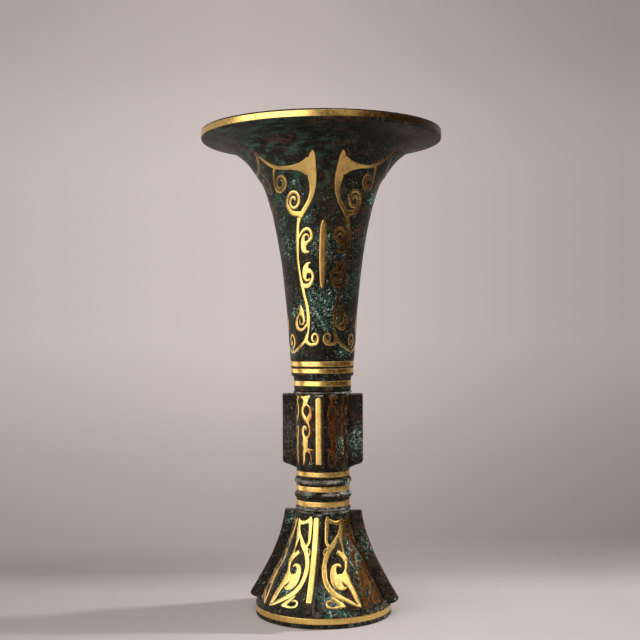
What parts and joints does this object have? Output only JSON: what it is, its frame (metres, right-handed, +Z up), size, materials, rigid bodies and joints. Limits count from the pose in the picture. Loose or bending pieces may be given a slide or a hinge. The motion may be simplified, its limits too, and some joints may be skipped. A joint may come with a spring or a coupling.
{
  "type": "gu vase",
  "caption": "Slender trumpet-mouthed gu vase in dark patinated bronze, with a flanged middle knop, a spreading flanged foot and gold scroll inlay.",
  "frame": {"origin": "centre of the foot ring's underside, on the surface the vase stands on", "axes": "+Z up along the vase's axis; -Y is the front that the picture shows"},
  "size_m": [0.1404, 0.1404, 0.28],
  "materials": {
    "patinated_bronze": "cast bronze with a dark brown-black patina and scattered green corrosion",
    "gold_inlay": "worn gold inlay, satin",
    "solder": "grey-white soft solder with pale deposits"
  },
  "bodies": {
    "root": {"collar_gold_band": "gold_inlay", "foot_corner_scroll_1_left": "gold_inlay", "foot_corner_scroll_1_right": "gold_inlay", "foot_corner_scroll_2_left": "gold_inlay", "foot_corner_scroll_2_right": "gold_inlay", "foot_corner_scroll_3_left": "gold_inlay", "foot_corner_scroll_3_right": "gold_inlay", "foot_corner_scroll_4_left": "gold_inlay", "foot_corner_scroll_4_right": "gold_inlay", "foot_flange_strip_1": "gold_inlay", "foot_flange_strip_2": "gold_inlay", "foot_flange_strip_3": "gold_inlay", "foot_flange_strip_4": "gold_inlay", "foot_gold_band": "gold_inlay", "foot_scroll_1_left": "gold_inlay", "foot_scroll_1_right": "gold_inlay", "foot_scroll_2_left": "gold_inlay", "foot_scroll_2_right": "gold_inlay", "foot_scroll_3_left": "gold_inlay", "foot_scroll_3_right": "gold_inlay", "foot_scroll_4_left": "gold_inlay", "foot_scroll_4_right": "gold_inlay", "knop_flange_strip_1": "gold_inlay", "knop_flange_strip_2": "gold_inlay", "knop_flange_strip_3": "gold_inlay", "knop_flange_strip_4": "gold_inlay", "knop_scroll_1_left": "gold_inlay", "knop_scroll_1_right": "gold_inlay", "knop_scroll_2_left": "gold_inlay", "knop_scroll_2_right": "gold_inlay", "knop_scroll_3_left": "gold_inlay", "knop_scroll_3_right": "gold_inlay", "knop_scroll_4_left": "gold_inlay", "knop_scroll_4_right": "gold_inlay", "lower_neck_gold_band_lower": "gold_inlay", "lower_neck_gold_band_middle": "gold_inlay", "lower_neck_gold_band_upper": "gold_inlay", "lower_solder_ring": "solder", "middle_knop": "patinated_bronze", "neck_gold_band_lower": "gold_inlay", "neck_gold_band_upper": "gold_inlay", "neck_lens_1": "gold_inlay", "neck_lens_2": "gold_inlay", "neck_lens_3": "gold_inlay", "neck_pendant_1": "gold_inlay", "neck_pendant_2": "gold_inlay", "neck_pendant_3": "gold_inlay", "neck_scroll_1_left": "gold_inlay", "neck_scroll_1_right": "gold_inlay", "neck_scroll_2_left": "gold_inlay", "neck_scroll_2_right": "gold_inlay", "neck_scroll_3_left": "gold_inlay", "neck_scroll_3_right": "gold_inlay", "rim_gold_band": "gold_inlay", "spreading_foot": "patinated_bronze", "trumpet_neck": "patinated_bronze", "upper_solder_ring": "solder", "well_floor": "patinated_bronze"}
  },
  "joints": []
}
